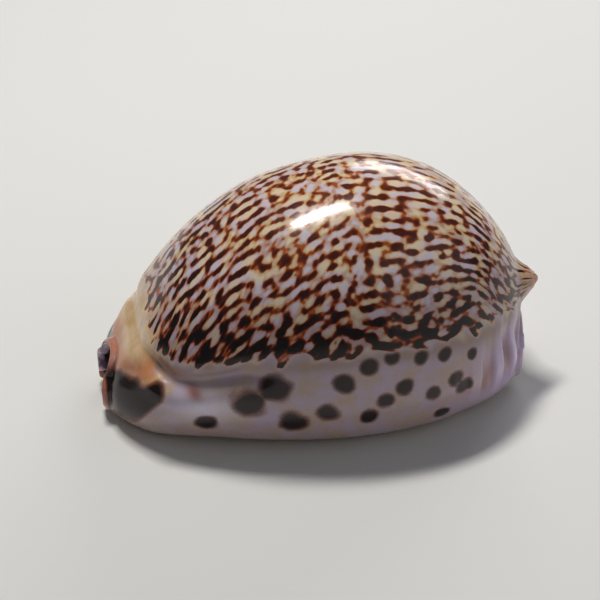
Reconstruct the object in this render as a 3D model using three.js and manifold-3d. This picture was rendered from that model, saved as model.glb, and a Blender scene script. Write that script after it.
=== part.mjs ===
// An empty cowrie shell at life size, in millimetres, lying on its base.
// +X points to the posterior end with the spire, -X to the anterior end,
// +Z up, and -Y to the left side, which is the columellar one.
import * as THREE from 'three';
import { LoftGeometry } from 'three/addons/geometries/LoftGeometry.js';
import { mergeVertices } from 'three/addons/utils/BufferGeometryUtils.js';
import Module from 'manifold-3d';

// Driving dimensions
const LENGTH = 60;
const WIDTH = 38;
const HEIGHT = 32.5;
const DORSAL_WALL = 1.3;
const SPIRE_WALL = 2.6;
const SIDE_WALL = 2;
const FLOOR_WALL = 3.2;
const APERTURE_HALF_GAP = 1.55;
const LIP_ROUNDING = 1.7;
const TOOTHED_WIDTH = 3.6;
const TOOTHED_RECESS = 0.8;
const LABRAL_TEETH = 27;
const COLUMELLAR_TEETH = 24;
const TOOTH_HEIGHT = 0.5;
const TOOTH_WIDTH = 0.75;
const TOOTH_ROOT = 0.45;
const TOOTH_CLEARANCE = 0.05;

// Shape of the cross sections
const UNDER_INSET = 6.2;
const DORSAL_EXPONENT = 2.15;
const POSTERIOR_EXPONENT = 1.7;
const UNDER_EXPONENT = 2;
const LIP_ROLL = 1.6;
const LIP_ROLL_WIDTH = 2.6;
const RIM_ROUNDING = 1;
const END_LIFT = 1;

// How finely the surface is faceted
const STATIONS = 35;
const WALL_STEPS = 2;
const ROUNDING_STEPS = 2;
const TOOTHED_STEPS = 2;
const PLATEAU_STEPS = 1;
const UNDER_STEPS = 4;
const DORSAL_STEPS = 10;
const INNER_FLOOR_STEPS = 2;
const INNER_UNDER_STEPS = 2;
const INNER_DORSAL_STEPS = 6;
const SPIRE_SEGMENTS = 18;
const END_CROWDING = 0.09;

// Rails run from the anterior rim to the posterior rim, as shares of the half
// length, the half width and the height. The crest is the dorsal midline.
const CREST = [
  [-0.89, 0.01, 0.27], [-0.84, 0.01, 0.35], [-0.725, 0.01, 0.505], [-0.53, 0.01, 0.735],
  [-0.235, 0, 0.925], [0.09, 0, 0.997], [0.335, 0, 1], [0.57, -0.01, 0.93], [0.765, -0.03, 0.785],
  [0.9, -0.06, 0.605], [0.947, -0.09, 0.44], [0.93, -0.12, 0.325],
];
const LEFT_MARGIN = [
  [-0.945, -0.27, 0.13], [-0.91, -0.4, 0.15], [-0.785, -0.62, 0.2], [-0.53, -0.81, 0.27],
  [-0.2, -0.95, 0.315], [0.13, -1, 0.325], [0.47, -0.93, 0.31], [0.7, -0.76, 0.265],
  [0.855, -0.545, 0.215], [0.915, -0.4, 0.17],
];
const RIGHT_MARGIN = [
  [-0.945, 0.28, 0.13], [-0.91, 0.41, 0.15], [-0.785, 0.62, 0.19], [-0.53, 0.81, 0.235],
  [-0.2, 0.95, 0.265], [0.13, 1, 0.27], [0.47, 0.95, 0.265], [0.7, 0.8, 0.24],
  [0.87, 0.56, 0.2], [0.94, 0.27, 0.165],
];

// The middle of the aperture, seen from above.
const APERTURE = [
  [-0.945, 0.01], [-0.85, 0.02], [-0.66, 0.03], [-0.33, 0.045], [0, 0.055],
  [0.33, 0.05], [0.6, 0.02], [0.78, -0.03], [0.885, -0.085], [0.93, -0.12],
];

// The middle of the spire's foot, in the same shares, and its outline from the
// axis outwards and up, as radius and height.
const SPIRE_PLACE = [0.925, -0.14, 0.455];
const SPIRE_OUTLINE = [
  [0, -1.6], [3.2, -1.6], [3.2, -0.1], [2.9, 0.6], [2.45, 1.2], [2.25, 1.35], [1.8, 2.05],
  [1.15, 2.45], [0.95, 2.6], [0.55, 3.05], [0, 3.2],
];
const SPIRE_TURN = -0.1;
const SPIRE_RISE = -0.12;

const placed = ([x, y, z = 0]) => new THREE.Vector3(x * LENGTH / 2, y * WIDTH / 2, z * HEIGHT);

function rail(shares) {
  const points = shares.map(placed);
  const curve = new THREE.CatmullRomCurve3(points, false, 'centripetal');
  curve.arcLengthDivisions = 400;
  return curve;
}

const crest = rail(CREST);
const leftMargin = rail(LEFT_MARGIN);
const rightMargin = rail(RIGHT_MARGIN);
const aperture = rail(APERTURE);

const bump = (value, centre, width) => Math.exp(-(((value - centre) / width) ** 2));
const smooth = (value) => THREE.MathUtils.smoothstep(value, 0, 1);

// The base is flat but for both ends, which rise a little.
const baseHeight = (u) => END_LIFT * (1 - smooth(u / 0.14) + smooth((u - 0.88) / 0.12));

// The side walls thin out towards both ends, and the dorsal one thickens at the spire.
const sideWall = (u) => SIDE_WALL * (0.8 + 0.2 * Math.sin(Math.PI * u));
const dorsalWall = (u) => THREE.MathUtils.lerp(DORSAL_WALL, SPIRE_WALL, bump(u, 0.92, 0.12));

// 1 at either rim and 0 away from them.
const rimShare = (u) => Math.max(bump(u, 0, 0.06), bump(u, 1, 0.06));

// Half the width of the aperture: widest at the anterior end.
const halfGap = (u) => APERTURE_HALF_GAP * (1 + 0.35 * bump(u, 0.08, 0.16) - 0.1 * bump(u, 0.7, 0.2));

// Depth of the valley that parts the swollen dorsum from the flared margin.
const valleyDepth = (u) => 0.12 + 1.25 * bump(u, 0.1, 0.13) + 0.5 * bump(u, 0.93, 0.07);

// The dorsal arc is nearly elliptical, and more pointed round the spire.
const dorsalExponent = (u) =>
  THREE.MathUtils.lerp(DORSAL_EXPONENT, POSTERIOR_EXPONENT, bump(u, 0.97, 0.13));

// Height of the wall above the base at the lip's inner edge.
const lipHeight = (u) => FLOOR_WALL * (0.68 + 0.32 * Math.sin(Math.PI * u) ** 0.5);

const UP = new THREE.Vector3(0, 0, 1);

// The inner point that faces an outer one: a wall's thickness in from the surface,
// and at the rims, where the wall ends, in the plane of the section instead.
function thinnedBy(wall, point, normal, inPlane, u) {
  const direction = normal.normalize().lerp(inPlane, rimShare(u)).normalize();
  return point.clone().addScaledVector(direction, -wall);
}

// Everything that the sections at share u of the length are drawn from.
function stationAt(u) {
  const top = crest.getPointAt(u);
  const slope = crest.getTangentAt(u);
  const innerTop = thinnedBy(dorsalWall(u), top, new THREE.Vector3(-slope.z, 0, slope.x), UP, u);
  const sides = [leftMargin, rightMargin].map((curve, i) => {
    const side = i === 0 ? -1 : 1;
    const margin = curve.getPointAt(u);
    const along = curve.getTangentAt(u);
    const out = new THREE.Vector3(-side * along.y, side * along.x, 0);
    const sideways = new THREE.Vector3(0, side, 0);
    return { side, margin, innerMargin: thinnedBy(sideWall(u), margin, out, sideways, u) };
  });
  const slit = aperture.getPointAt(u).setZ(baseHeight(u));
  return { u, top, innerTop, sides, slit, gap: halfGap(u) };
}

// Outer points of one half section, from the lip's inner edge to the crest.
function outerHalf(station, { side, margin }) {
  const { u, top, slit, gap } = station;
  const lipY = slit.y + side * gap;
  const span = Math.abs(margin.y - lipY);
  const rounding = Math.min(LIP_ROUNDING, 0.3 * span);
  const toothed = Math.min(TOOTHED_WIDTH, 0.2 * span);
  const inset = Math.min(UNDER_INSET, 0.42 * span);
  const recess = TOOTHED_RECESS * Math.min(1, span / 10);
  const lowZ = slit.z + recess;
  const points = [];
  const add = (distance, z, share) => points.push(new THREE.Vector3(
    THREE.MathUtils.lerp(slit.x, margin.x, share), lipY + side * distance, z));

  const wallTop = slit.z + lipHeight(u);
  const wallFoot = lowZ + rounding;
  for (let i = 0; i < WALL_STEPS; i++) {
    add(0, THREE.MathUtils.lerp(wallTop, wallFoot, i / WALL_STEPS), 0);
  }
  for (let i = 0; i < ROUNDING_STEPS; i++) {
    const a = (i / ROUNDING_STEPS) * Math.PI / 2;
    add(rounding * (1 - Math.cos(a)), lowZ + rounding * (1 - Math.sin(a)), 0);
  }
  for (let i = 0; i < TOOTHED_STEPS; i++) {
    const t = i / TOOTHED_STEPS;
    add(rounding + toothed * t, slit.z + recess * (1 - smooth(t)), 0.3 * t);
  }
  const plateauStart = rounding + toothed;
  const plateauEnd = span - inset;
  for (let i = 0; i < PLATEAU_STEPS; i++) {
    const t = i / PLATEAU_STEPS;
    add(THREE.MathUtils.lerp(plateauStart, plateauEnd, t), slit.z, 0.3 + 0.4 * t);
  }
  for (let i = 0; i < UNDER_STEPS; i++) {
    const a = (1 - i / UNDER_STEPS) * Math.PI / 2;
    const reach = Math.cos(a) ** (2 / UNDER_EXPONENT);
    const drop = Math.sin(a) ** (2 / UNDER_EXPONENT);
    add(plateauEnd + inset * reach, margin.z - (margin.z - slit.z) * drop, 0.7 + 0.3 * reach);
  }
  for (let i = 0; i <= DORSAL_STEPS; i++) {
    const a = (i / DORSAL_STEPS) * Math.PI / 2;
    points.push(dorsalPoint(u, a, top, margin, side, valleyDepth(u)));
  }
  return points;
}

// A point of the dorsal arc between the margin, at angle 0, and the crest.
function dorsalPoint(u, angle, top, margin, side, valley) {
  const exponent = dorsalExponent(u);
  const across = Math.cos(angle) ** (2 / exponent);
  const rise = Math.sin(angle) ** (2 / exponent);
  const inward = valley * bump(angle, 0.5, 0.24);
  return new THREE.Vector3(
    THREE.MathUtils.lerp(margin.x, top.x, Math.sin(angle) ** 2),
    top.y + (margin.y - top.y) * across - side * inward * Math.cos(angle),
    margin.z + (top.z - margin.z) * rise - inward * Math.sin(angle));
}

// Inner points of one half section, from beside the lip's inner edge to the crest.
function innerHalf(station, { side, innerMargin }) {
  const { u, innerTop, slit, gap } = station;
  const lipY = slit.y + side * gap;
  const span = Math.abs(innerMargin.y - lipY);
  const inset = Math.min(UNDER_INSET, 0.5 * span);
  const roll = LIP_ROLL * Math.sin(Math.PI * u);
  const floorZ = slit.z + lipHeight(u) - roll;
  const marginZ = Math.max(innerMargin.z, floorZ + 0.8);
  const points = [];
  for (let i = 1; i <= INNER_FLOOR_STEPS; i++) {
    const distance = (span - inset) * (i / (INNER_FLOOR_STEPS + 1));
    const z = floorZ + roll * (1 - smooth(distance / LIP_ROLL_WIDTH));
    points.push(new THREE.Vector3(slit.x, lipY + side * distance, z));
  }
  for (let i = 0; i < INNER_UNDER_STEPS; i++) {
    const a = (1 - i / INNER_UNDER_STEPS) * Math.PI / 2;
    points.push(new THREE.Vector3(
      THREE.MathUtils.lerp(slit.x, innerMargin.x, Math.cos(a)),
      lipY + side * (span - inset + inset * Math.cos(a)),
      marginZ - (marginZ - floorZ) * Math.sin(a)));
  }
  const corner = new THREE.Vector3(innerMargin.x, innerMargin.y, marginZ);
  for (let i = 0; i <= INNER_DORSAL_STEPS; i++) {
    const a = (i / INNER_DORSAL_STEPS) * Math.PI / 2;
    points.push(dorsalPoint(u, a, innerTop, corner, side, 0.8 * valleyDepth(u)));
  }
  return points;
}

// The closed C of one section: round the outside from the right lip to the
// left lip, and back round the cavity.
function sectionAt(u) {
  const station = stationAt(u);
  const [outerLeft, outerRight] = station.sides.map((half) => outerHalf(station, half));
  const [innerLeft, innerRight] = station.sides.map((half) => innerHalf(station, half));
  return {
    outer: [...outerRight, ...outerLeft.reverse().slice(1)],
    inner: [...innerLeft, ...innerRight.reverse().slice(1)],
  };
}

function nearest(point, others) {
  return others.reduce((best, other) =>
    (other.distanceToSquared(point) < best.distanceToSquared(point) ? other : best));
}

// The last section at an end, moved out along the length and drawn in towards the
// middle of the wall, which rounds the rim. The angle grows from 0 to 90 degrees.
function rimSection(u, angle) {
  const { outer, inner } = sectionAt(u);
  const out = (u < 0.5 ? -1 : 1) * RIM_ROUNDING * Math.sin(angle);
  const draw = 0.5 * (1 - Math.cos(angle));
  const drawn = (points, others) => points.map((point) =>
    point.clone().lerp(nearest(point, others), draw).add(new THREE.Vector3(out, 0, 0)));
  return [...drawn(outer, inner), ...drawn(inner, outer)];
}

const wasm = await Module();
wasm.setup();

function solidOf(geometry) {
  const bare = new THREE.BufferGeometry();
  bare.setAttribute('position', geometry.getAttribute('position'));
  bare.setIndex(geometry.index);
  const merged = mergeVertices(bare, 1e-4);
  return new wasm.Manifold(new wasm.Mesh({
    numProp: 3,
    vertProperties: merged.attributes.position.array,
    triVerts: new Uint32Array(merged.index.array),
  }));
}

function geometryOf(solid) {
  const mesh = solid.getMesh();
  const geometry = new THREE.BufferGeometry();
  geometry.setAttribute('position', new THREE.BufferAttribute(mesh.vertProperties, 3));
  geometry.setIndex(new THREE.BufferAttribute(mesh.triVerts, 1));
  geometry.computeVertexNormals();
  return geometry;
}

// Stations lie closer together towards both ends, where the shell turns most.
function bodyWhorl() {
  const rimAngles = [0.4, 1.2];
  const sections = rimAngles.toReversed().map((angle) => rimSection(0, angle));
  for (let i = 0; i < STATIONS; i++) {
    const t = i / (STATIONS - 1);
    const { outer, inner } = sectionAt(t - END_CROWDING * Math.sin(2 * Math.PI * t));
    sections.push([...outer, ...inner]);
  }
  sections.push(...rimAngles.map((angle) => rimSection(1, angle)));
  return solidOf(new LoftGeometry(sections, { capStart: true, capEnd: true }));
}

// The low spire over the posterior canal: two whorls with a step between them.
function spire() {
  const outline = SPIRE_OUTLINE.map(([radius, height]) => new THREE.Vector2(radius, height));
  const geometry = new THREE.LatheGeometry(outline, SPIRE_SEGMENTS);
  geometry.rotateZ(-Math.PI / 2);
  geometry.rotateY(SPIRE_RISE);
  geometry.rotateZ(SPIRE_TURN);
  const place = placed(SPIRE_PLACE);
  geometry.translate(place.x, place.y, place.z);
  return solidOf(geometry);
}

// One tooth: a low ridge that runs from the base over the lip's rounding into
// the aperture. Its outline is drawn across the aperture and given its width along it.
// It stays above the flat base, which alone carries the shell.
function tooth(u, side) {
  const station = stationAt(u);
  const half = station.sides[side < 0 ? 0 : 1];
  const first = WALL_STEPS - 1;
  const last = WALL_STEPS + ROUNDING_STEPS + TOOTHED_STEPS;
  const ridge = outerHalf(station, half).slice(first, last + 1);
  const along = aperture.getTangentAt(u).setZ(0).normalize();
  const across = new THREE.Vector3(-along.y, along.x, 0);
  const origin = ridge[0].clone();
  const flat = ridge.map((p) => new THREE.Vector2(p.clone().sub(origin).dot(across), p.z - origin.z));
  const lowest = station.slit.z + TOOTH_CLEARANCE - origin.z;
  const outside = [];
  const inside = [];
  flat.forEach((p, i) => {
    const before = flat[Math.max(i - 1, 0)];
    const after = flat[Math.min(i + 1, flat.length - 1)];
    const out = new THREE.Vector2(after.y - before.y, before.x - after.x).setLength(side);
    const height = TOOTH_HEIGHT * Math.sin(Math.PI * (i + 0.5) / flat.length) ** 0.6;
    const crown = p.clone().addScaledVector(out, height);
    outside.push(crown.setY(Math.max(crown.y, lowest)));
    inside.unshift(p.clone().addScaledVector(out, -TOOTH_ROOT));
  });
  const shape = new THREE.Shape([...outside, inside[0], inside.at(-1)]);
  const geometry = new THREE.ExtrudeGeometry(shape, { depth: TOOTH_WIDTH, bevelEnabled: false });
  geometry.translate(0, 0, -TOOTH_WIDTH / 2);
  const frame = new THREE.Matrix4().makeBasis(across, UP, across.clone().cross(UP));
  geometry.applyMatrix4(frame.setPosition(origin));
  return solidOf(geometry);
}

// Teeth stand at even steps between the two ends of the aperture.
function teeth() {
  const rows = [
    { side: -1, count: COLUMELLAR_TEETH, from: 0.1, to: 0.93 },
    { side: 1, count: LABRAL_TEETH, from: 0.06, to: 0.95 },
  ];
  return rows.flatMap(({ side, count, from, to }) =>
    Array.from({ length: count }, (_, i) => tooth(THREE.MathUtils.lerp(from, to, i / (count - 1)), side)));
}

const solid = [spire(), ...teeth()].reduce((whole, piece) => whole.add(piece), bodyWhorl());
const geometry = geometryOf(solid);
geometry.computeBoundingBox();
const { min, max } = geometry.boundingBox;

const porcelain = new THREE.MeshStandardMaterial({ color: 0xb9a48f, roughness: 0.18, metalness: 0 });
const shell = new THREE.Mesh(geometry, porcelain);
shell.name = 'shell';
// The origin is on the surface that the shell lies on, under the middle of its box.
shell.position.set(-(min.x + max.x) / 2, -(min.y + max.y) / 2, -min.z);

const cowrie = new THREE.Group();
cowrie.add(shell);

export default cowrie;
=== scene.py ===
import math

import bpy
import numpy as np
from mathutils import Matrix, Vector


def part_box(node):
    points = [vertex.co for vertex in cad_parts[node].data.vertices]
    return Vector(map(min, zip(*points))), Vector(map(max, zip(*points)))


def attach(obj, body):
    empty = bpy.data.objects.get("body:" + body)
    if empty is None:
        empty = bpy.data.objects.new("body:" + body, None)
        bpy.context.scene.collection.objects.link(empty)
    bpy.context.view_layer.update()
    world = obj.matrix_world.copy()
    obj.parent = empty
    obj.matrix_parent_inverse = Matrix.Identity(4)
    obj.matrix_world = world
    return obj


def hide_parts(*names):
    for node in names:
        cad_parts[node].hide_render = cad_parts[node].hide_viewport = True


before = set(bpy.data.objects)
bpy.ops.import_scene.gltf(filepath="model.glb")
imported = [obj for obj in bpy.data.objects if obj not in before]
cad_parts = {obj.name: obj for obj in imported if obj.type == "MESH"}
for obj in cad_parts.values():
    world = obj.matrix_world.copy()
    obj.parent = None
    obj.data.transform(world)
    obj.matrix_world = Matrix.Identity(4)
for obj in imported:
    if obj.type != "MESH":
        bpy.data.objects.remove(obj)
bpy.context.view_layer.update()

# Shape of the shell, in millimetres
LENGTH = 60
WIDTH = 38
HEIGHT = 32.5
DORSAL_WALL = 1.3
SPIRE_WALL = 2.6
SIDE_WALL = 2
FLOOR_WALL = 3.2
APERTURE_HALF_GAP = 1.55
LIP_ROUNDING = 1.7
TOOTHED_WIDTH = 3.6
TOOTHED_RECESS = 0.8
LABRAL_TEETH = 27
COLUMELLAR_TEETH = 24
TOOTH_HEIGHT = 0.55
UNDER_INSET = 6.2
DORSAL_EXPONENT = 2.15
POSTERIOR_EXPONENT = 1.7
LIP_ROLL = 1.6
LIP_ROLL_WIDTH = 2.6
RIM_ROUNDING = 1
END_LIFT = 1
LIP_CLEARANCE = 0.8
RIM_TURN = 1.35
INNER_VALLEY_SHARE = 0.8

# The low spire: its suture winds in by one share of the radius in each turn
SPIRE_AXIS = (0.988, -0.099, 0.12)
SPIRE_OUTLINE = [
    (0, 3.12), (0.3, 3.08), (0.6, 2.9), (0.95, 2.6), (1.2, 2.42), (1.8, 1.85), (2.25, 1.28),
    (2.5, 1.02), (3, 0.4), (3.5, -0.15), (4.5, -1.1), (5.5, -2.2), (7, -4.4),
]
SPIRE_WHORLS = 3
SUTURE_RADIUS = 2.6
SUTURE_SHARE = 0.52
SUTURE_DEPTH = 0.16
SPIRE_BLEND = 0.3
SPIRE_REACH = 8.5
SPIRE_FADE_START = 6
POSTERIOR_X = 20

# Low folds across the left margin at the posterior end
FOLD_DEPTH = 0.42
FOLD_SPACING = 4.7
FOLD_START = 25.4

# The anterior margin swells over a soft valley under the edge of the network
SWELL_HEIGHT = 0.35
VALLEY_DEPTH = 1.05

# How finely the surface is meshed
STATIONS = 236
RIM_STEPS = 7
WALL_STEPS = 4
ROUNDING_STEPS = 6
TOOTHED_STEPS = 12
PLATEAU_STEPS = 5
UNDER_STEPS = 27
DORSAL_STEPS = 96
FINE_ARC_POINTS = 361
INNER_FLOOR_STEPS = 6
INNER_UNDER_STEPS = 8
INNER_DORSAL_STEPS = 22

# Rails from the anterior rim to the posterior rim, as shares of the half length,
# the half width and the height
CREST = [
    (-0.89, 0.01, 0.27), (-0.84, 0.01, 0.35), (-0.725, 0.01, 0.505), (-0.53, 0.01, 0.735),
    (-0.235, 0, 0.925), (0.09, 0, 0.997), (0.335, 0, 1), (0.57, -0.01, 0.93), (0.765, -0.03, 0.785),
    (0.9, -0.06, 0.605), (0.947, -0.09, 0.44), (0.93, -0.12, 0.325),
]
LEFT_MARGIN = [
    (-0.945, -0.27, 0.13), (-0.91, -0.4, 0.15), (-0.785, -0.62, 0.2), (-0.53, -0.81, 0.27),
    (-0.2, -0.95, 0.315), (0.13, -1, 0.325), (0.47, -0.93, 0.31), (0.7, -0.76, 0.265),
    (0.855, -0.545, 0.215), (0.915, -0.4, 0.17),
]
RIGHT_MARGIN = [
    (-0.945, 0.28, 0.13), (-0.91, 0.41, 0.15), (-0.785, 0.62, 0.19), (-0.53, 0.81, 0.235),
    (-0.2, 0.95, 0.265), (0.13, 1, 0.27), (0.47, 0.95, 0.265), (0.7, 0.8, 0.24),
    (0.87, 0.56, 0.2), (0.94, 0.27, 0.165),
]
APERTURE = [
    (-0.945, 0.01, 0), (-0.85, 0.02, 0), (-0.66, 0.03, 0), (-0.33, 0.045, 0), (0, 0.055, 0),
    (0.33, 0.05, 0), (0.6, 0.02, 0), (0.78, -0.03, 0), (0.885, -0.085, 0), (0.93, -0.12, 0),
]
SPIRE_PLACE = (0.925, -0.14, 0.455)


def bump(value, centre, width):
    """A soft hill: 1 at its centre, and 0 a few widths away."""
    return np.exp(-(((value - centre) / width) ** 2))


def smooth(value):
    """A soft step from 0, at 0 and below, to 1, at 1 and above."""
    clipped = np.clip(value, 0, 1)
    return clipped * clipped * (3 - 2 * clipped)


def lerp(low, high, share):
    return low + (high - low) * share


def unit(vectors):
    return vectors / np.maximum(np.linalg.norm(vectors, axis=-1, keepdims=True), 1e-9)


def placed(shares):
    """Points in millimetres from shares of the half length, the half width and the height."""
    return np.array(shares, float) * (LENGTH / 2, WIDTH / 2, HEIGHT)


def spline_stretch(p0, p1, p2, p3, steps=80):
    """One centripetal Catmull-Rom stretch, from p1 to just before p2."""
    gaps = [np.linalg.norm(b - a) ** 0.5 for a, b in ((p0, p1), (p1, p2), (p2, p3))]
    t0, t1, t2, t3 = np.concatenate([[0], np.cumsum(gaps)])
    t = np.linspace(t1, t2, steps, endpoint=False)[:, None]
    a1 = ((t1 - t) * p0 + (t - t0) * p1) / (t1 - t0)
    a2 = ((t2 - t) * p1 + (t - t1) * p2) / (t2 - t1)
    a3 = ((t3 - t) * p2 + (t - t2) * p3) / (t3 - t2)
    b1 = ((t2 - t) * a1 + (t - t0) * a2) / (t2 - t0)
    b2 = ((t3 - t) * a2 + (t - t1) * a3) / (t3 - t1)
    return ((t2 - t) * b1 + (t - t1) * b2) / (t2 - t1)


class Rail:
    """A smooth curve through points, read at shares of its own length."""

    def __init__(self, shares):
        points = placed(shares)
        ends = 2 * points[0] - points[1], 2 * points[-1] - points[-2]
        around = np.vstack([ends[0], points, ends[1]])
        stretches = [spline_stretch(*around[i:i + 4]) for i in range(len(points) - 1)]
        self.path = np.vstack(stretches + [points[-1:]])
        steps = np.linalg.norm(np.diff(self.path, axis=0), axis=1)
        self.share = np.concatenate([[0], np.cumsum(steps)]) / steps.sum()

    def at(self, u):
        return np.stack([np.interp(u, self.share, self.path[:, k]) for k in range(3)], axis=-1)

    def slope(self, u):
        return unit(self.at(np.minimum(u + 0.004, 1)) - self.at(np.maximum(u - 0.004, 0)))


def base_height(u):
    """The base is flat but for both ends, which rise a little."""
    return END_LIFT * (1 - smooth(u / 0.14) + smooth((u - 0.88) / 0.12))


def side_wall(u):
    """Thickness of the wall at the margins, thinner towards both ends."""
    return SIDE_WALL * (0.8 + 0.2 * np.sin(np.pi * u))


def dorsal_wall(u):
    """Thickness of the wall at the crest, thicker under the spire."""
    return lerp(DORSAL_WALL, SPIRE_WALL, bump(u, 0.92, 0.12))


def half_gap(u):
    """Half the width of the aperture, widest at the anterior end."""
    return APERTURE_HALF_GAP * (1 + 0.35 * bump(u, 0.08, 0.16) - 0.1 * bump(u, 0.7, 0.2))


def valley_depth(u):
    """Depth of the valley that parts the swollen dorsum from the flared margin."""
    return 0.12 + 1.25 * bump(u, 0.1, 0.13) + 0.5 * bump(u, 0.93, 0.07)


def lip_height(u):
    """Height of the wall over the base at the lip's inner edge."""
    return FLOOR_WALL * (0.68 + 0.32 * np.sin(np.pi * u) ** 0.5)


def thinned_by(wall, points, normals, in_plane, u):
    """Inner points: a wall's thickness in, and at the rims in the section's plane."""
    rim = np.maximum(bump(u, 0, 0.06), bump(u, 1, 0.06))[:, None]
    directions = unit(unit(normals) * (1 - rim) + np.array(in_plane) * rim)
    return points - directions * wall[:, None]


def stack(x, y, z):
    """Points from their three coordinates."""
    return np.stack(np.broadcast_arrays(x, y, z), axis=-1)


def dorsal_arc(u, angles, top, margin, side, valley):
    """Points of the dorsal arc between the margin, at angle 0, and the crest."""
    exponent = lerp(DORSAL_EXPONENT, POSTERIOR_EXPONENT, bump(u, 0.97, 0.13))[:, None]
    across = np.maximum(np.cos(angles), 0) ** (2 / exponent)
    rise = np.sin(angles) ** (2 / exponent)
    inward = valley[:, None] * bump(angles, 0.5, 0.24)
    tx, ty, tz = (top[:, None, k] for k in range(3))
    mx, my, mz = (margin[:, None, k] for k in range(3))
    return stack(
        lerp(mx, tx, np.sin(angles) ** 2),
        ty + (my - ty) * across - side * inward * np.cos(angles),
        mz + (tz - mz) * rise - inward * np.sin(angles))


def evened(arcs, steps):
    """The same arcs with their points at even distances."""
    lengths = np.linalg.norm(np.diff(arcs, axis=1), axis=2)
    shares = np.concatenate([np.zeros((len(arcs), 1)), np.cumsum(lengths, axis=1)], axis=1)
    shares /= shares[:, -1:]
    even = np.linspace(0, 1, steps + 1)
    return np.stack([
        np.stack([np.interp(even, share, arc[:, k]) for k in range(3)], axis=-1)
        for share, arc in zip(shares, arcs)])


class Sections:
    """The shell's cross sections at shares u of its length, with fine steps."""

    def __init__(self, u):
        self.u = u
        crest = Rail(CREST)
        self.top = crest.at(u)
        slope = crest.slope(u)
        normals = stack(-slope[:, 2], 0 * u, slope[:, 0])
        self.inner_top = thinned_by(dorsal_wall(u), self.top, normals, (0, 0, 1), u)
        self.slit = Rail(APERTURE).at(u)
        self.slit[:, 2] = base_height(u)
        self.margin = {}
        self.inner_margin = {}
        for side, shares in ((-1, LEFT_MARGIN), (1, RIGHT_MARGIN)):
            margin = Rail(shares)
            along = margin.slope(u)
            out = stack(-side * along[:, 1], side * along[:, 0], 0 * u)
            self.margin[side] = margin.at(u)
            self.inner_margin[side] = thinned_by(
                side_wall(u), self.margin[side], out, (0, side, 0), u)

    def outer_half(self, side):
        """Outer points from the lip's inner edge to the crest."""
        u = self.u
        margin = self.margin[side]
        lip_y = self.slit[:, 1] + side * half_gap(u)
        span = np.abs(margin[:, 1] - lip_y)
        rounding = np.minimum(LIP_ROUNDING, 0.3 * span)
        toothed = np.minimum(TOOTHED_WIDTH, 0.2 * span)
        inset = np.minimum(UNDER_INSET, 0.42 * span)
        recess = TOOTHED_RECESS * np.minimum(1, span / 10)
        base = self.slit[:, 2]
        low = base + recess
        blocks = []

        def add(distance, z, share):
            x = lerp(self.slit[:, None, 0], margin[:, None, 0], share)
            blocks.append(stack(x, lip_y[:, None] + side * distance, z))

        def column(values):
            return values[:, None]

        steps = np.arange(WALL_STEPS) / WALL_STEPS
        wall_top = column(base + lip_height(u))
        add(0 * column(u), lerp(wall_top, column(low + rounding), steps), 0 * steps)
        angles = np.arange(ROUNDING_STEPS) / ROUNDING_STEPS * np.pi / 2
        z = column(low) + column(rounding) * (1 - np.sin(angles))
        add(column(rounding) * (1 - np.cos(angles)), z, 0 * angles)
        steps = np.arange(TOOTHED_STEPS) / TOOTHED_STEPS
        z = column(base) + column(recess) * (1 - smooth(steps))
        add(column(rounding) + column(toothed) * steps, z, 0.3 * steps)
        start = column(rounding + toothed)
        end = column(span - inset)
        steps = np.arange(PLATEAU_STEPS) / PLATEAU_STEPS
        add(lerp(start, end, steps), column(base), 0.3 + 0.4 * steps)
        angles = (1 - np.arange(UNDER_STEPS) / UNDER_STEPS) * np.pi / 2
        reach = np.cos(angles)
        z = margin[:, None, 2] - (margin[:, None, 2] - column(base)) * np.sin(angles)
        add(end + column(inset) * reach, z, 0.7 + 0.3 * reach)
        angles = np.linspace(0, np.pi / 2, FINE_ARC_POINTS)
        arcs = dorsal_arc(u, angles, self.top, margin, side, valley_depth(u))
        blocks.append(evened(arcs, DORSAL_STEPS))
        return np.concatenate(blocks, axis=1)

    def inner_half(self, side):
        """Inner points from beside the lip's inner edge to the crest."""
        u = self.u
        margin = self.inner_margin[side]
        lip_y = self.slit[:, 1] + side * half_gap(u)
        span = np.abs(margin[:, 1] - lip_y)[:, None]
        inset = np.minimum(UNDER_INSET, 0.5 * span)
        roll = (LIP_ROLL * np.sin(np.pi * u))[:, None]
        floor = (self.slit[:, 2] + lip_height(u))[:, None] - roll
        margin_z = np.maximum(margin[:, None, 2], floor + LIP_CLEARANCE)
        distance = (span - inset) * np.arange(1, INNER_FLOOR_STEPS + 1) / (INNER_FLOOR_STEPS + 1)
        z = floor + roll * (1 - smooth(distance / LIP_ROLL_WIDTH))
        slit_x = self.slit[:, None, 0]
        flat = stack(slit_x, lip_y[:, None] + side * distance, z)
        angles = (1 - np.arange(INNER_UNDER_STEPS) / INNER_UNDER_STEPS) * np.pi / 2
        under = stack(
            lerp(slit_x, margin[:, None, 0], np.cos(angles)),
            lip_y[:, None] + side * (span - inset + inset * np.cos(angles)),
            margin_z - (margin_z - floor) * np.sin(angles))
        corner = np.stack([margin[:, 0], margin[:, 1], margin_z[:, 0]], axis=-1)
        angles = np.linspace(0, np.pi / 2, INNER_DORSAL_STEPS + 1)
        arc = dorsal_arc(u, angles, self.inner_top, corner, side, INNER_VALLEY_SHARE * valley_depth(u))
        return np.concatenate([flat, under, arc], axis=1)


# Columns of the outer half section, counted from the lip's inner edge
TOOTHED_START = WALL_STEPS + ROUNDING_STEPS
PLATEAU_START = TOOTHED_START + TOOTHED_STEPS
DORSAL_START = PLATEAU_START + PLATEAU_STEPS + UNDER_STEPS
HALF = DORSAL_START + DORSAL_STEPS + 1
OUTER = 2 * HALF - 1
CREST_COLUMN = HALF - 1


def normals_of(grid):
    """Outward unit normals of the outer grid, rows along the length."""
    along = np.gradient(grid, axis=0)
    around = np.gradient(grid, axis=1)
    return unit(np.cross(around, along))


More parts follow.
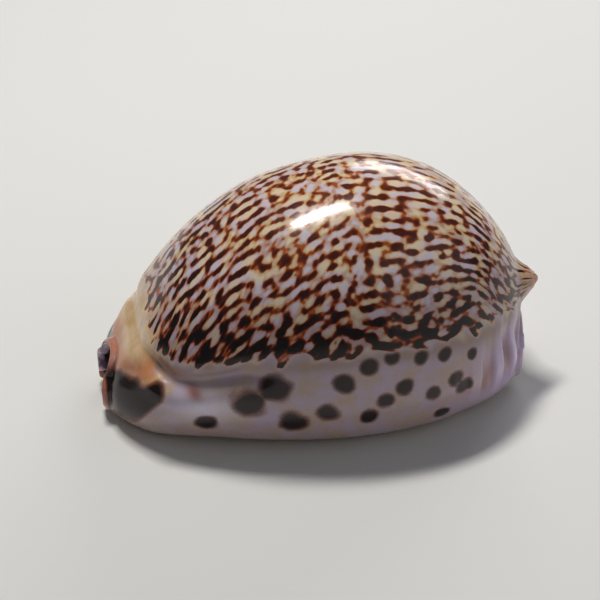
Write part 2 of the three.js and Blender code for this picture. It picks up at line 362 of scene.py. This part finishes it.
def tooth_ridges(u, side):
    """How high the teeth of one lip stand at shares u of the length, from 0 to 1."""
    count, first, last = (COLUMELLAR_TEETH, 0.1, 0.93) if side < 0 else (LABRAL_TEETH, 0.06, 0.95)
    place = (u - first) / (last - first) * (count - 1)
    ridge = np.cos(np.pi * place) ** 2
    inside = smooth((place + 0.5) / 0.3) * smooth((count - 0.5 - place) / 0.3)
    return ridge ** 1.6 * inside


def toothed_share(side):
    """How much of a tooth's height each column of one half section carries."""
    column = np.arange(HALF)
    rise = smooth(column / WALL_STEPS)
    fade = 1 - smooth((column - TOOTHED_START - 0.25 * TOOTHED_STEPS) / (0.75 * TOOTHED_STEPS))
    return rise * fade * (1 if side > 0 else 0.9)


def spire_foot():
    """The middle of the spire's foot, and the direction it points in."""
    return placed(SPIRE_PLACE), unit(np.array(SPIRE_AXIS))


def raise_spire(points):
    """Lifts the low spire out of the surface round it, with a spiral suture."""
    foot, axis = spire_foot()
    offsets = points - foot
    height = offsets @ axis
    across = offsets - height[..., None] * axis
    radius = np.linalg.norm(across, axis=-1)
    turn = np.arctan2(across[..., 2], across[..., 1]) / (2 * np.pi)
    nub = np.interp(radius, *zip(*SPIRE_OUTLINE))
    for whorl in range(SPIRE_WHORLS):
        suture = SUTURE_RADIUS * SUTURE_SHARE ** (whorl + turn)
        nub -= SUTURE_DEPTH * bump(radius, suture, 0.21 - 0.03 * whorl)
    near = (radius < SPIRE_REACH) & (points[..., 0] > POSTERIOR_X)
    blended = SPIRE_BLEND * np.logaddexp(height / SPIRE_BLEND, nub / SPIRE_BLEND)
    lifted = np.where(near, blended, height)
    fade = smooth((radius - SPIRE_FADE_START) / (SPIRE_REACH - SPIRE_FADE_START))
    lifted = lerp(lifted, height, fade)
    mark = np.where(near, smooth((SUTURE_RADIUS - radius) / 1.6), 0)
    return points + (lifted - height)[..., None] * axis, mark


def nearest(points, others):
    """For each point, the nearest of the others."""
    gaps = np.linalg.norm(points[:, None] - others[None], axis=2)
    return others[gaps.argmin(axis=1)]


def rim_rows(outer, inner, direction):
    """Rows that move out along the length and draw in to the wall's middle."""
    meeting_outer = nearest(outer, inner)
    meeting_inner = nearest(inner, outer)
    rows = []
    for step in range(1, RIM_STEPS + 1):
        angle = RIM_TURN * step / RIM_STEPS
        draw = 0.5 * (1 - math.cos(angle))
        out = np.array([direction * RIM_ROUNDING * math.sin(angle), 0, 0])
        drawn = [lerp(outer, meeting_outer, draw), lerp(inner, meeting_inner, draw)]
        rows.append(np.concatenate(drawn) + out)
    return rows


def cap_faces(row, columns, outer_count, points):
    """Triangles that close the flat strip between the outer and the inner rim."""
    start = row * columns
    outer_path = [start + column for column in range(outer_count)]
    inner_path = [start + column for column in range(columns - 1, outer_count - 1, -1)]

    def gap(path, following, opposite):
        """Length of the edge to the next point of a path, endless past its end."""
        if following == len(path):
            return np.inf
        return np.linalg.norm(points[path[following]] - points[opposite])

    faces = []
    i = j = 0
    while i < len(outer_path) - 1 or j < len(inner_path) - 1:
        here = outer_path[i]
        there = inner_path[j]
        if gap(outer_path, i + 1, there) <= gap(inner_path, j + 1, here):
            i += 1
            faces.append((here, there, outer_path[i]))
        else:
            j += 1
            faces.append((here, there, inner_path[j]))
    return faces


class Spectrum:
    """Seeded smooth noise on a flat sheet that covers the unrolled surface."""
    CELL = 0.15
    COUNT = 800
    SPREAD = 0.5
    TURN = 3

    def __init__(self):
        k = np.fft.fftfreq(self.COUNT, self.CELL)
        self.ks, self.kt = np.meshgrid(k, k, indexing="ij")
        self.radius = np.hypot(self.ks, self.kt) + 1e-9
        self.angle = np.arctan2(np.abs(self.ks), np.abs(self.kt))

    def band(self, wavelength, seed):
        """Noise of about one wavelength, with slightly more waves across the shell."""
        random = np.random.default_rng(seed)
        noise = np.fft.fft2(random.standard_normal((self.COUNT, self.COUNT)))
        ring = np.exp(-(np.log(self.radius * wavelength) / self.SPREAD) ** 2)
        sector = np.exp(-(self.angle / self.TURN) ** 2)
        field = np.fft.ifft2(noise * ring * sector).real
        return field / field.std()

    def read(self, field, s, t):
        """Values of a field between its cells; it repeats beyond its edges."""
        a = (s / self.CELL) % self.COUNT
        b = (t / self.CELL) % self.COUNT
        i = np.floor(a).astype(int) % self.COUNT
        j = np.floor(b).astype(int) % self.COUNT
        fa = a - np.floor(a)
        fb = b - np.floor(b)
        i1 = (i + 1) % self.COUNT
        j1 = (j + 1) % self.COUNT
        low = field[i, j] * (1 - fb) + field[i, j1] * fb
        high = field[i1, j] * (1 - fb) + field[i1, j1] * fb
        return low * (1 - fa) + high * fa


# Dark spots of the margins, as x, z and radius
LEFT_SPOTS = [
    (-7.9, 12, 1.9), (-11.2, 9.6, 2), (-16.5, 5.6, 1.35), (-5.6, 6.6, 1.8), (-1.2, 8, 1.4),
    (0.8, 12.7, 1.4), (4, 14.8, 1.2), (6.2, 9.3, 1.2), (8.7, 11, 1.2), (4.2, 6.8, 1.2),
    (12.7, 9, 1.1), (15.9, 10.3, 1.1), (17.4, 8.3, 1.1), (14.5, 4.3, 1.1), (7, 15.8, 1),
    (10.9, 14.9, 1), (14.2, 14.6, 0.9), (18.4, 13, 0.8),
]
RIGHT_SPOTS = [
    (-19.5, 7.5, 1.3), (-16, 10.8, 1.5), (-12.2, 6.4, 1.4), (-9.6, 11.5, 1.8), (-4.9, 8.3, 1.6),
    (-1.8, 12.6, 1.4), (1.6, 6.2, 1.2), (4.4, 10.4, 1.5), (8.3, 13.5, 1.2), (9.6, 7.4, 1.3),
    (13.4, 10.6, 1.2), (16.1, 6.2, 1.1), (18.2, 11.9, 1), (20.9, 8.2, 1),
]

# The lower edge of the network on the flanks, as x and z
NETWORK_EDGE = [
    (-24, 14.6), (-20.4, 13.3), (-17, 14), (-12, 15.6), (1, 16.6), (6, 16.8), (16, 16.2),
    (21, 15.4), (25, 14.8), (28, 14),
]

# The pale line on the dorsum, as distances over the surface: along it, and left of the crest
DORSAL_LINE = [
    (-38, -3), (-30, -6), (-20, -8.5), (-5, -9), (8, -6), (12.7, -2.1), (16, 1), (20, 0.5),
    (25.6, 2.6), (30, 3),
]

# The network's strokes slant a little on the flanks, and turn about an axis at this height
# where they draw together at the spire
STROKE_SLANT = 0.14
STROKE_AXIS_HEIGHT = 12


def network_edge(x):
    """Height over the base where the dorsal network ends on the flanks."""
    return np.interp(x, *zip(*NETWORK_EDGE))


def drawn_to_spire(points, s, t):
    """Surface coordinates whose lengthwise lines run into the spire at its end."""
    apex, _ = spire_foot()
    x, y, z = (points[..., k] for k in range(3))
    share = smooth((x + 2) / 12)
    along = np.clip(x / apex[0], 0, 1)
    axis_z = lerp(STROKE_AXIS_HEIGHT, apex[2], along)
    turn = np.arctan2(y - apex[1] * along, z - axis_z)
    distance = np.linalg.norm(points - apex, axis=-1)
    around = -turn * lerp(20, 11, smooth((16 - distance) / 13))
    return lerp(s, 33 - distance, share), lerp(t + STROKE_SLANT * s, around, share)


def posterior_folds(s, z):
    """Where the folds are, from 0 to 1, and how deep in a groove each point lies, from 0 to 1."""
    place = bump(s, 28, 8) * bump(z, 8.5, 3.5)
    wave = np.cos(2 * np.pi * (s - FOLD_START) / FOLD_SPACING)
    return place, smooth(0.5 - 0.9 * wave)


def anterior_swelling(x, z):
    """How far the anterior margin stands out over the valley, in millimetres."""
    place = smooth((x + 26) / 4) * smooth((-5 - x) / 9)
    height = z - network_edge(x)
    return place * (SWELL_HEIGHT * bump(height, -4.9, 1.5) - VALLEY_DEPTH * bump(height, -2, 1.25))


def shell_grid():
    """The whole closed surface as a grid of points, and what each of its points is."""
    u = np.linspace(0, 1, STATIONS)
    sections = Sections(u)
    left = sections.outer_half(-1)
    right = sections.outer_half(1)
    outer = np.concatenate([right, left[:, ::-1][:, 1:]], axis=1)
    inner_right = sections.inner_half(1)
    inner = np.concatenate([sections.inner_half(-1), inner_right[:, ::-1][:, 1:]], axis=1)

    # Distances over the surface: s along the length, t across it from the crest
    across = np.linalg.norm(np.diff(outer, axis=1), axis=2)
    t = np.concatenate([np.zeros((STATIONS, 1)), np.cumsum(across, axis=1)], axis=1)
    t -= t[:, CREST_COLUMN:CREST_COLUMN + 1]
    along = np.linalg.norm(np.diff(outer, axis=0), axis=2)
    s = np.concatenate([np.zeros((1, OUTER)), np.cumsum(along, axis=0)])
    s -= s[STATIONS // 2]

    normals = normals_of(outer)
    column = np.arange(OUTER)
    is_left = column > CREST_COLUMN
    half_column = np.where(is_left, OUTER - 1 - column, column)
    tooth = np.zeros((STATIONS, OUTER))
    for side, chosen in ((1, ~is_left), (-1, is_left)):
        share = toothed_share(side)[half_column[chosen]]
        tooth[:, chosen] = tooth_ridges(u, side)[:, None] * share
    base = base_height(u)[:, None]
    raised = outer + normals * (TOOTH_HEIGHT * tooth)[..., None]
    lip = (half_column < PLATEAU_START)[None, :]
    lowest = np.minimum(base, outer[..., 2])
    raised[..., 2] = np.where(lip, np.maximum(raised[..., 2], lowest), raised[..., 2])

    place, groove = posterior_folds(s, outer[..., 2])
    raised += normals * (FOLD_DEPTH * place * is_left[None, :] * (1 - 2 * groove))[..., None]
    raised += normals * anterior_swelling(outer[..., 0], outer[..., 2])[..., None]
    raised, spire = raise_spire(raised)

    rows = [np.concatenate([o, i]) for o, i in zip(raised, inner)]
    front = rim_rows(raised[0], inner[0], -1)
    back = rim_rows(raised[-1], inner[-1], 1)
    points = np.array(front[::-1] + rows + back)

    def spread(field, inner_value=0.0):
        """A field of the outer surface, given to every row and column of the grid."""
        padded = np.full((STATIONS, OUTER + inner.shape[1]), inner_value)
        padded[:, :OUTER] = field
        return np.pad(padded, ((RIM_STEPS, RIM_STEPS), (0, 0)), mode="edge")

    facts = {
        "s": spread(s),
        "t": spread(t),
        "tooth": spread(tooth),
        "spire": spread(spire),
        "left": spread(np.broadcast_to(is_left, s.shape).astype(float)),
        "cavity": spread(np.zeros_like(s), 1.0),
    }
    return points, facts


def spot_field(x, z, spots, wobble):
    """Soft-edged spots: 1 inside, 0 outside."""
    field = np.zeros_like(x)
    for spot_x, spot_z, radius in spots:
        distance = np.hypot(x - spot_x, z - spot_z) / radius
        field = np.maximum(field, smooth((1.5 + 0.08 * wobble - distance) / 0.95))
    return field


def markings(points, facts):
    """How strongly each kind of marking shows at each point of the grid."""
    x, _, z = (points[..., k] for k in range(3))
    s = facts["s"]
    t = facts["t"]
    left = facts["left"] > 0.5
    outside = 1 - facts["cavity"]
    sheet = Spectrum()

    def noise(wavelength, seed):
        return sheet.read(sheet.band(wavelength, seed), s, t)

    drift = noise(7, 3)
    edge = noise(4, 4)

    # The network covers the dorsum down to this height over the base
    lower = network_edge(x)
    above_edge = smooth((z - lower + 0.35 * edge) / 1.2 + 0.6)
    inside = above_edge * smooth((x + 22.9 + 0.25 * edge) / 1.1)
    merging = bump(z, lower + 1.6, 3.2) * smooth((x + 22) / 4)
    merging = merging * (0.45 + 0.55 * smooth((20 - x) / 9))
    lower_seam = bump(z, lower + 0.5, 0.8) * smooth((14 - x) / 6)
    front_seam = bump(x, -22, 0.7) * smooth((20 - z) / 4)
    seam = np.maximum(lower_seam, front_seam)
    weight = 0.12 * drift + 0.46 * merging + 0.35 * seam - 0.21
    weight = weight - 0.1 * smooth((z - 24) / 8) - 3 * (1 - inside)

    # The pale dorsal line, where both edges of the mantle met
    line = bump(t + 0.25 * drift, np.interp(s, *zip(*DORSAL_LINE)), 1.25) * inside
    weight = weight - 0.7 * line - 0.7 * facts["spire"]

    left_spots = spot_field(x, z, LEFT_SPOTS, edge)
    spots = np.where(left, left_spots, spot_field(x, z, RIGHT_SPOTS, edge))
    spots = spots * outside * (1 - inside)
    blotch_top = 7.6 + 0.5 * (x + 28)
    blotch_side = -21 - 0.6 * np.maximum(8.5 - z, 0)
    blotch = smooth((blotch_side - x + 0.3 * drift) / 2.4) * smooth((z - 1.2) / 1.6)
    blotch = blotch * smooth((blotch_top - z + 0.2 * drift) / 1.8 + 0.5)
    tip = smooth((-28.3 - x) / 0.6)
    over_blotch = bump(z, blotch_top + 0.9, 0.9) * smooth((-21.6 - x) / 1.5)
    rust = bump(x, -17.8, 1) * bump(z, 10.3, 0.9) + 0.7 * bump(x, -20, 2) * bump(z, 11.8, 0.9)
    rust = rust + 0.9 * bump(x, 20.9, 0.6) * bump(z, 7.4, 1.6)
    fold_place, groove = posterior_folds(s, z)
    return {
        "weight": np.where(outside > 0.5, weight, -2),
        "network": inside * outside,
        "dorsal_line": line * outside,
        # Height share: the ground turns more tan with it, and the strokes use it for painted light,
        # lighter at the lit top
        "height": smooth((z - 18) / 14),
        # Low on the flanks, where the strokes crowd and the ground is darkened, partly as painted
        # shade
        "netting": 1 - smooth((z - lower - 3) / 6),
        "spots": spots,
        "blotch": blotch * outside * (1 - 0.75 * tip),
        "ember": np.maximum(bump(x, -29.3, 0.7), 0.75 * over_blotch) * outside,
        "rostrum": smooth((-20.6 - x + 0.6 * edge) / 2.6) * smooth((z - 7) / 4) * outside,
        # Paler posterior end of the margin: partly its own pinkish lilac, partly painted light where
        # it flares up towards the light
        "bright_end": bump(s, 29, 9) * smooth((15 - z) / 5) * outside,
        # Painted shade: darker brown in the grooves between the posterior folds
        "groove": fold_place * groove * facts["left"],
        # Paler callus at the anterior left: partly its own lilac-white, partly a painted highlight
        # where its glossy ledge catches the light
        "callus": bump(x, -17, 4.2) * bump(z, 8.6, 2.6) * facts["left"],
        # Painted shade: a darker band on the margin just under the network's edge, where the dorsum
        # overhangs it
        "band": bump(z, lower - 0.9, 1) * smooth((x + 24) / 3) * outside,
        "rust": rust * facts["left"],
        "base": smooth((3.6 - z) / 3.4) * outside,
        "teeth": smooth(facts["tooth"] / 0.75),
        "spire": facts["spire"],
        "cavity": facts["cavity"],
        "tint": 0.5 + 0.5 * np.tanh(noise(5, 5)),
    }


def srgb(red, green, blue):
    """A colour given as 0 to 255 display values, in linear light."""
    def linear(value):
        value /= 255
        return value / 12.92 if value <= 0.04045 else ((value + 0.055) / 1.055) ** 2.4
    return (linear(red), linear(green), linear(blue), 1)


class Nodes:
    """Short calls that add shader nodes and join them."""
    FIRST_COLOUR = 6
    SECOND_COLOUR = 7
    MIXED_COLOUR = 2
    WAVE_SPREAD = 12

    def __init__(self, name):
        self.material = bpy.data.materials.new(name)
        self.material.use_nodes = True
        self.tree = self.material.node_tree
        self.shader = self.tree.nodes["Principled BSDF"]

    def new(self, kind, **settings):
        node = self.tree.nodes.new(kind)
        for name, value in settings.items():
            setattr(node, name, value)
        return node

    def join(self, source, target):
        self.tree.links.new(source, target)

    def mark(self, name):
        """How strongly a marking shows, as the mesh carries it."""
        return self.new("ShaderNodeAttribute", attribute_name=name).outputs["Fac"]

    def noise(self, scale, detail=3.0, roughness=0.5, distortion=0.0):
        """Noise in object space: scale is how many waves there are in a metre."""
        where = self.new("ShaderNodeTexCoord").outputs["Object"]
        node = self.new("ShaderNodeTexNoise")
        node.inputs["Scale"].default_value = scale
        node.inputs["Detail"].default_value = detail
        node.inputs["Roughness"].default_value = roughness
        node.inputs["Distortion"].default_value = distortion
        self.join(where, node.inputs["Vector"])
        return node.outputs["Fac"]

    def waves(self, wavelength, count, strictness, shift, direction=math.pi / 2):
        """Wavy stripes over the unrolled surface, running along the length or, at 0, across it."""
        where = self.new("ShaderNodeAttribute", attribute_name="sheet").outputs["Vector"]
        moved = self.new("ShaderNodeVectorMath", operation="ADD")
        self.join(where, moved.inputs[0])
        moved.inputs[1].default_value = (shift, 2 * shift, 0)
        node = self.new("ShaderNodeTexGabor", gabor_type="2D")
        self.join(moved.outputs[0], node.inputs["Vector"])
        node.inputs["Scale"].default_value = 1 / (wavelength * count)
        node.inputs["Frequency"].default_value = count
        node.inputs["Anisotropy"].default_value = strictness
        node.inputs["Orientation"].default_value = direction
        centred = self.math("SUBTRACT", node.outputs["Value"], 0.5)
        return self.math("MULTIPLY", centred, self.WAVE_SPREAD)

    def math(self, operation, first, second=None):
        node = self.new("ShaderNodeMath", operation=operation)
        for socket, value in zip(node.inputs, (first, second)):
            if value is None:
                continue
            if isinstance(value, (int, float)):
                socket.default_value = value
            else:
                self.join(value, socket)
        return node.outputs[0]

    def span(self, value, low, high, to_low=0.0, to_high=1.0):
        """A smooth step from to_low, at low and below, to to_high, at high and above."""
        node = self.new("ShaderNodeMapRange", interpolation_type="SMOOTHSTEP")
        self.join(value, node.inputs["Value"])
        node.inputs["From Min"].default_value = low
        node.inputs["From Max"].default_value = high
        node.inputs["To Min"].default_value = to_low
        node.inputs["To Max"].default_value = to_high
        return node.outputs["Result"]

    def mix(self, share, first, second):
        """One colour laid over another: share 0 gives the first, 1 the second."""
        node = self.new("ShaderNodeMix", data_type="RGBA")
        if isinstance(share, (int, float)):
            node.inputs["Factor"].default_value = share
        else:
            self.join(share, node.inputs["Factor"])
        for place, value in ((self.FIRST_COLOUR, first), (self.SECOND_COLOUR, second)):
            socket = node.inputs[place]
            if isinstance(value, tuple):
                socket.default_value = value
            else:
                self.join(value, socket)
        return node.outputs[self.MIXED_COLOUR]


def network_stroke(n):
    """How far a point is inside a stroke of the network: in the ground it is below zero."""
    wisps = n.noise(900, detail=3, roughness=0.6, distortion=0.6)
    netting = n.mark("netting")
    lines = n.math("MULTIPLY", n.waves(1.85, 2, 0.72, 0), n.span(netting, 0, 1, 0.36, 0.16))
    steps = n.math("MULTIPLY", n.waves(2.3, 1.3, 0.7, 11, 0), n.span(netting, 0, 1, 0.19, 0.1))
    links = n.math("MULTIPLY", n.waves(2.05, 1.5, 0, 57), n.span(netting, 0, 1, 0.17, 0.11))
    cells = n.math("MULTIPLY", n.waves(2.5, 1.3, 0, 83), n.span(netting, 0, 1, 0.05, 0.4))
    stroke = n.math("ADD", n.math("ADD", lines, steps), n.math("ADD", links, cells))
    stroke = n.math("ADD", stroke, n.math("MULTIPLY", n.waves(0.95, 1.5, 0, 31), 0.1))
    stroke = n.math("ADD", stroke, n.math("MULTIPLY", n.math("SUBTRACT", wisps, 0.5), 0.3))
    return n.math("ADD", stroke, n.mark("weight"))


def dorsal_ground(n, cloud, stroke):
    """Pale ground from cream to lilac, more tan towards the top, duskier low on the flanks, partly in
    its own colour and partly as painted shade.
    """
    tint = n.span(n.math("ADD", n.mark("tint"), n.math("MULTIPLY", cloud, 0.6)), 0.45, 1.1)
    ground = n.mix(tint, srgb(206, 178, 142), srgb(186, 164, 176))
    ground = n.mix(n.math("MULTIPLY", n.mark("height"), 0.5), ground, srgb(204, 174, 122))
    flush = n.noise(400, detail=2, distortion=0.3)
    ground = n.mix(n.span(flush, 0.5, 0.68, 0.0, 0.7), ground, srgb(186, 140, 122))
    middle = n.mix(tint, srgb(232, 220, 200), srgb(216, 212, 230))
    ground = n.mix(n.span(stroke, -0.95, -0.35, 0.65, 0.0), ground, middle)
    # Duskier ground low on the flanks: partly the shell's own colour, partly painted shade
    ground = n.mix(n.math("MULTIPLY", n.mark("netting"), 0.45), ground, srgb(160, 134, 128))
    return n.mix(n.math("MULTIPLY", n.mark("dorsal_line"), 0.5), ground, srgb(214, 186, 146))


def margin_ground(n, cloud):
    """Greyish fawn and lilac. The callus and the posterior end are brighter, partly in their own paler
    colour and partly as painted light; the band under the network's edge and the grooves between the
    posterior folds hold painted shade.
    """
    margin = n.mix(n.span(cloud, 0.35, 0.65), srgb(178, 156, 144), srgb(178, 162, 176))
    # Partly the posterior end's own pinkish lilac, partly painted light on the flared end
    margin = n.mix(n.math("MULTIPLY", n.mark("bright_end"), 0.9), margin, srgb(210, 190, 224))
    # The callus mix is partly the callus's own lilac-white and partly a painted highlight on its
    # glossy ledge
    margin = n.mix(n.math("MULTIPLY", n.mark("callus"), 0.85), margin, srgb(222, 214, 230))
    # Painted shade under the overhanging dorsum
    margin = n.mix(n.math("MULTIPLY", n.mark("band"), 0.5), margin, srgb(146, 120, 104))
    # Painted shade in the grooves between the posterior folds
    margin = n.mix(n.math("MULTIPLY", n.mark("groove"), 0.8), margin, srgb(146, 106, 82))
    return n.mix(n.math("MULTIPLY", n.mark("rust"), 0.75), margin, srgb(150, 84, 52))


def with_ends(n, cloud, colour):
    """The tan rostrum, the pinkish spire and the orange rims round the blotch."""
    rostrum = n.mix(n.span(cloud, 0.3, 0.7), srgb(206, 170, 124), srgb(222, 196, 160))
    colour = n.mix(n.mark("rostrum"), colour, rostrum)
    colour = n.mix(n.math("MULTIPLY", n.mark("spire"), 0.85), colour, srgb(208, 158, 128))
    return n.mix(n.math("MULTIPLY", n.mark("ember"), 0.8), colour, srgb(196, 104, 52))


def with_strokes(n, stroke, colour):
    """The network: orange-brown rims round a dark maroon core, lighter towards the top and darker down
    the flanks as painted light.
    """
    # Painted light: the stroke colours lighten towards the lit top and darken down the shaded flanks
    rim = n.mix(n.mark("height"), srgb(164, 80, 30), srgb(172, 92, 40))
    maroon = n.mix(n.mark("height"), srgb(74, 27, 16), srgb(116, 56, 36))
    core = n.mix(n.mark("height"), srgb(22, 11, 12), srgb(86, 38, 28))
    colour = n.mix(n.span(stroke, -0.3, -0.06), colour, rim)
    colour = n.mix(n.span(stroke, -0.02, 0.18), colour, maroon)
    return n.mix(n.span(stroke, 0.22, 0.6), colour, core)


def with_spots(n, grain, colour):
    """The margin spots and the blotch at the anterior end, dark with brown rims."""
    unevenness = n.math("MULTIPLY", n.math("SUBTRACT", grain, 0.5), 0.2)
    spots = n.math("ADD", n.mark("spots"), unevenness)
    colour = n.mix(n.math("MULTIPLY", n.span(spots, 0.06, 0.55), 0.7), colour, srgb(112, 66, 50))
    colour = n.mix(n.span(spots, 0.35, 0.95), colour, srgb(34, 18, 18))
    blotch = n.math("ADD", n.mark("blotch"), unevenness)
    colour = n.mix(n.math("MULTIPLY", n.span(blotch, 0.1, 0.5), 0.8), colour, srgb(120, 62, 40))
    return n.mix(n.span(blotch, 0.35, 0.85), colour, srgb(30, 16, 18))


def with_underside(n, cloud, colour):
    """The fawn base, the brown teeth and the lilac inside."""
    base = n.mix(n.span(cloud, 0.35, 0.65), srgb(196, 170, 146), srgb(206, 186, 178))
    colour = n.mix(n.mark("base"), colour, base)
    tooth = n.math("MULTIPLY", n.span(n.mark("teeth"), 0.25, 0.8), 0.85)
    colour = n.mix(tooth, colour, srgb(126, 58, 34))
    return n.mix(n.mark("cavity"), colour, srgb(176, 156, 172))


def enamel():
    """Glossy cowrie enamel: pale ground, dark network, margin spots, brown teeth."""
    n = Nodes("shell_enamel")
    grain = n.noise(2600, detail=2)
    cloud = n.noise(330, detail=4, roughness=0.55)
    stroke = network_stroke(n)
    colour = n.mix(n.mark("network"), margin_ground(n, cloud), dorsal_ground(n, cloud, stroke))
    colour = with_ends(n, cloud, colour)
    colour = with_strokes(n, stroke, colour)
    colour = with_spots(n, grain, colour)
    colour = with_underside(n, cloud, colour)
    colour = n.mix(n.span(grain, 0.3, 0.7, 0.0, 0.06), colour, srgb(120, 96, 84))
    n.join(colour, n.shader.inputs["Base Color"])

    rough = n.span(n.noise(700, detail=4), 0.3, 0.7, 0.13, 0.22)
    n.join(rough, n.shader.inputs["Roughness"])
    n.shader.inputs["IOR"].default_value = 1.5
    n.shader.inputs["Coat Weight"].default_value = 0.15
    n.shader.inputs["Coat Roughness"].default_value = 0.06
    bump_node = n.new("ShaderNodeBump")
    bump_node.inputs["Strength"].default_value = 0.12
    bump_node.inputs["Distance"].default_value = 0.0001
    n.join(n.noise(420, detail=5, roughness=0.6), bump_node.inputs["Height"])
    n.join(bump_node.outputs["Normal"], n.shader.inputs["Normal"])
    return n.material


def shell_piece():
    """The whole shell as one closed mesh, fitted to the box of its solid."""
    points, facts = shell_grid()
    marks = markings(points, facts)
    rows, columns, _ = points.shape

    low, high = (np.array(corner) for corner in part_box("shell"))
    flat = points.reshape(-1, 3)
    least = flat.min(axis=0)
    most = flat.max(axis=0)
    flat = low + (flat - least) * (high - low) / (most - least)

    index = np.arange(rows * columns).reshape(rows, columns)
    after = np.roll(index, -1, axis=1)
    quads = np.stack([index[:-1], after[:-1], after[1:], index[1:]], axis=-1).reshape(-1, 4)
    faces = quads.tolist()
    faces += [face[::-1] for face in cap_faces(0, columns, OUTER, flat)]
    faces += cap_faces(rows - 1, columns, OUTER, flat)

    mesh = bpy.data.meshes.new("cowrie_shell")
    mesh.from_pydata(flat.tolist(), [], faces)
    mesh.shade_smooth()
    sheet = mesh.attributes.new("sheet", "FLOAT_VECTOR", "POINT")
    along, around = drawn_to_spire(points, facts["s"], facts["t"])
    sheet.data.foreach_set("vector", stack(along, around, 0).astype(np.float32).ravel())
    for name, values in marks.items():
        attribute = mesh.attributes.new(name, "FLOAT", "POINT")
        attribute.data.foreach_set("value", np.asarray(values, dtype=np.float32).ravel())
    mesh.materials.append(enamel())
    mesh.validate()
    piece = bpy.data.objects.new("cowrie_shell", mesh)
    bpy.context.collection.objects.link(piece)
    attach(piece, "root")
    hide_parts("shell")
    return piece


# Camera: on the shell's left, a little towards its anterior end, and above
AZIMUTH = math.radians(-10)
ELEVATION = math.radians(34.3)
DISTANCE = 0.22
FOCAL_LENGTH = 97.3
SENSOR_WIDTH = 36
TARGET = Vector((-0.0008, 0, 0.014))
FRAMING = Vector((-0.00153, -0.00081))
LIT_POINT = (0, 0, 0.012)
FLOOR_REACH = 1.5


def make_camera():
    level = Vector((math.sin(AZIMUTH), -math.cos(AZIMUTH), 0))
    back = level * math.cos(ELEVATION) + Vector((0, 0, math.sin(ELEVATION)))
    right = Vector((math.cos(AZIMUTH), math.sin(AZIMUTH), 0))
    up = back.cross(right)
    aim = TARGET + right * FRAMING.x + up * FRAMING.y
    data = bpy.data.cameras.new("camera")
    data.lens = FOCAL_LENGTH
    data.sensor_width = SENSOR_WIDTH
    data.clip_start = 0.001
    camera = bpy.data.objects.new("camera", data)
    turn = Matrix((right, up, back)).transposed().to_4x4()
    camera.matrix_world = Matrix.Translation(aim + back * DISTANCE) @ turn
    bpy.context.collection.objects.link(camera)
    bpy.context.scene.camera = camera


def make_light(name, place, size, power, colour=(1, 1, 1)):
    """A soft rectangular light that shines at the middle of the shell."""
    data = bpy.data.lights.new(name, "AREA")
    data.shape = "RECTANGLE"
    data.size, data.size_y = size
    data.energy = power
    data.color = colour
    light = bpy.data.objects.new(name, data)
    light.location = place
    beam = Vector(LIT_POINT) - Vector(place)
    light.rotation_euler = beam.to_track_quat("-Z", "Y").to_euler()
    bpy.context.collection.objects.link(light)


def make_lights():
    make_light("key", (-0.05, 0.1, 0.4), (0.12, 0.045), 0.95, (1, 0.97, 0.93))
    make_light("fill", (0.32, -0.26, 0.18), (0.55, 0.5), 0.26, (0.94, 0.96, 1))
    make_light("rim", (0.2, 0.34, 0.2), (0.3, 0.1), 0.4)


def make_world():
    world = bpy.data.worlds.new("studio")
    world.use_nodes = True
    background = world.node_tree.nodes["Background"]
    background.inputs["Color"].default_value = (0.9, 0.93, 1, 1)
    background.inputs["Strength"].default_value = 0.14
    bpy.context.scene.world = world
    bpy.context.scene.view_settings.view_transform = "Standard"
    bpy.context.scene.view_settings.look = "Medium High Contrast"


def make_floor():
    corners = [(x * FLOOR_REACH, y * FLOOR_REACH, 0) for x, y in ((-1, -1), (1, -1), (1, 1), (-1, 1))]
    mesh = bpy.data.meshes.new("floor")
    mesh.from_pydata(corners, [], [(0, 1, 2, 3)])
    paper = bpy.data.materials.new("paper")
    paper.use_nodes = True
    surface = paper.node_tree.nodes["Principled BSDF"]
    surface.inputs["Base Color"].default_value = (0.78, 0.78, 0.76, 1)
    surface.inputs["Roughness"].default_value = 0.9
    mesh.materials.append(paper)
    floor = bpy.data.objects.new("floor", mesh)
    bpy.context.collection.objects.link(floor)


make_camera()
shell_piece()
make_lights()
make_world()
make_floor()
